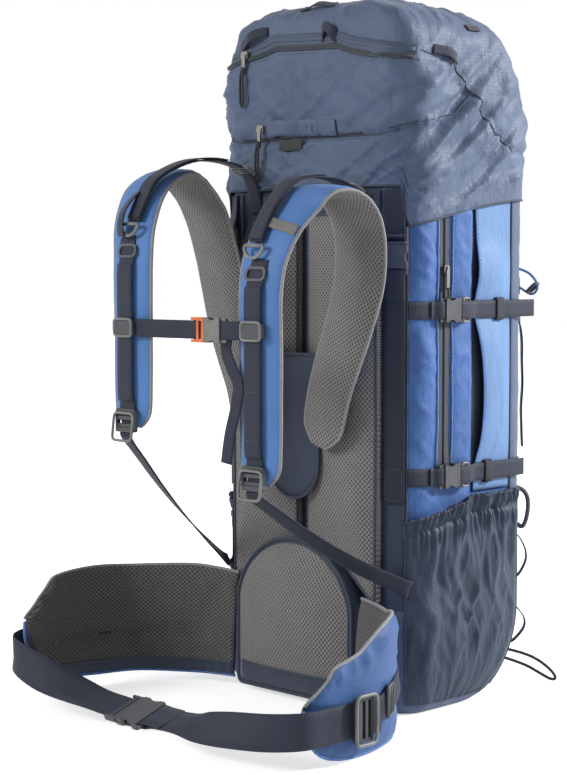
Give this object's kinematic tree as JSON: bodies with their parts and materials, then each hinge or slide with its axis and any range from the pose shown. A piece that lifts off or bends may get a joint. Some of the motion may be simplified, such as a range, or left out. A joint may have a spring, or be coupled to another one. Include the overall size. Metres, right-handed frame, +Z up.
{
  "type": "hiking backpack",
  "caption": "Tall framed hiking backpack with a hood lid, side pockets, compression straps, curved shoulder straps, a sternum strap and a padded hip belt.",
  "frame": {"origin": "middle of the flat base that the pack stands on", "axes": "+Z up along the pack; +X towards the wearer's left; -Y towards the wearer's back"},
  "size_m": [0.4776, 0.5255, 0.8123],
  "materials": {
    "navy_ripstop": "coated ripstop polyester",
    "blue_ripstop": "coated ripstop polyester",
    "spacer_mesh": "three-dimensional spacer mesh",
    "webbing": "woven webbing",
    "buckle_plastic": "moulded acetal",
    "whistle_plastic": "moulded acetal",
    "frame_plastic": "sheet",
    "stay_metal": "extruded bar",
    "zip_tape": "woven tape with a nylon coil",
    "zip_metal": "die cast, painted"
  },
  "bodies": {
    "root": {"base_panel": "navy_ripstop", "back_panel": "navy_ripstop", "side_panel_left": "blue_ripstop", "side_panel_right": "blue_ripstop", "front_panel": "navy_ripstop", "collar": "navy_ripstop", "frame_sheet": "frame_plastic", "frame_stays": "stay_metal", "back_pad_left": "spacer_mesh", "back_pad_right": "spacer_mesh", "adjuster_panel": "navy_ripstop", "lumbar_pad": "spacer_mesh", "haul_loop": "webbing", "side_pocket_left": "navy_ripstop", "side_pocket_right": "navy_ripstop", "side_zip_tapes": "zip_tape", "compression_anchors": "webbing", "compression_sockets": "buckle_plastic", "compression_webbing_left": "webbing", "compression_webbing_right": "webbing", "lid_strap_webbing": "webbing", "lid_strap_buckles": "buckle_plastic", "load_lifter_left": "webbing", "load_lifter_right": "webbing", "lower_strap_left": "webbing", "lower_strap_right": "webbing", "tool_loops": "webbing", "front_toggles": "buckle_plastic"},
    "lid": {"lid_shell": "navy_ripstop", "lid_zip_tapes": "zip_tape", "lid_loops": "webbing", "lid_front_plugs": "buckle_plastic", "lid_front_webbing": "webbing"},
    "lid_slider": {"lid_zip_slider": "zip_metal"},
    "cover_slider": {"cover_zip_slider": "zip_metal"},
    "zip_left": {"side_zip_slider_left": "zip_metal"},
    "zip_right": {"side_zip_slider_right": "zip_metal"},
    "strap_left": {"shoulder_pad_left": "blue_ripstop", "shoulder_webbing_left": "webbing", "shoulder_hardware_left": "buckle_plastic"},
    "strap_right": {"shoulder_pad_right": "blue_ripstop", "shoulder_webbing_right": "webbing", "shoulder_hardware_right": "buckle_plastic"},
    "sternum": {"sternum_clips": "buckle_plastic", "sternum_webbing_left": "webbing", "sternum_webbing_right": "webbing", "sternum_socket": "whistle_plastic"},
    "sternum_release": {"sternum_plug": "buckle_plastic"},
    "hip_left": {"hip_wing_left": "blue_ripstop", "waist_webbing_left": "webbing", "waist_socket": "buckle_plastic", "waist_ladder_lock_left": "buckle_plastic"},
    "hip_right": {"hip_wing_right": "blue_ripstop", "waist_webbing_right": "webbing", "waist_plug": "buckle_plastic", "waist_ladder_lock_right": "buckle_plastic"},
    "compression_left_upper": {"compression_plug_left_upper": "buckle_plastic"},
    "compression_left_lower": {"compression_plug_left_lower": "buckle_plastic"},
    "compression_right_upper": {"compression_plug_right_upper": "buckle_plastic"},
    "compression_right_lower": {"compression_plug_right_lower": "buckle_plastic"}
  },
  "joints": [
    {"name": "lid_hinge", "type": "hinge", "parent": "root", "child": "lid", "pos_m": [0, -0.1198, 0.592], "axis": [1, 0, 0], "range_deg": [0, 60]},
    {"name": "strap_left_swing", "type": "hinge", "parent": "root", "child": "strap_left", "pos_m": [0, -0.143, 0.308], "axis": [1, 0, 0], "range_deg": [0, 15], "deforming": ["load_lifter_left", "lower_strap_left"]},
    {"name": "strap_right_swing", "type": "hinge", "parent": "root", "child": "strap_right", "pos_m": [0, -0.143, 0.308], "axis": [1, 0, 0], "range_deg": [0, 15], "deforming": ["load_lifter_right", "lower_strap_right"]},
    {"name": "sternum_height", "type": "slide", "parent": "strap_left", "child": "sternum", "axis": [0, 0, 1], "range_m": [-0.05, 0.025]},
    {"name": "sternum_buckle", "type": "slide", "parent": "sternum", "child": "sternum_release", "axis": [-0.9941, -0.1081, 0], "range_m": [0, 0.03], "deforming": ["sternum_webbing_right"]},
    {"name": "hip_left_swing", "type": "hinge", "parent": "root", "child": "hip_left", "pos_m": [0.096, -0.118, 0.08], "axis": [0, 0, 1], "range_deg": [0, 25]},
    {"name": "hip_right_swing", "type": "hinge", "parent": "root", "child": "hip_right", "pos_m": [-0.096, -0.118, 0.08], "axis": [0, 0, 1], "range_deg": [-25, 0]},
    {"name": "lid_zip", "type": "slide", "parent": "lid", "child": "lid_slider", "axis": [1, 0, 0], "range_m": [0, 0.19]},
    {"name": "cover_zip", "type": "slide", "parent": "lid", "child": "cover_slider", "axis": [1, 0, 0], "range_m": [0, 0.16]},
    {"name": "side_zip_left", "type": "slide", "parent": "root", "child": "zip_left", "axis": [0, 0, 1], "range_m": [0, 0.03]},
    {"name": "side_zip_right", "type": "slide", "parent": "root", "child": "zip_right", "axis": [0, 0, 1], "range_m": [0, 0.03]},
    {"name": "compression_buckle_left_upper", "type": "slide", "parent": "root", "child": "compression_left_upper", "axis": [0, 1, 0], "range_m": [0, 0.025], "deforming": ["compression_webbing_left"]},
    {"name": "compression_buckle_left_lower", "type": "slide", "parent": "root", "child": "compression_left_lower", "axis": [0, 1, 0], "range_m": [0, 0.025]},
    {"name": "compression_buckle_right_upper", "type": "slide", "parent": "root", "child": "compression_right_upper", "axis": [0, 1, 0], "range_m": [0, 0.025], "deforming": ["compression_webbing_right"]},
    {"name": "compression_buckle_right_lower", "type": "slide", "parent": "root", "child": "compression_right_lower", "axis": [0, 1, 0], "range_m": [0, 0.025]}
  ],
  "couplings": [
    {"joint": "strap_right_swing", "follows": "strap_left_swing", "ratio": 1},
    {"joint": "hip_right_swing", "follows": "hip_left_swing", "ratio": -1}
  ]
}
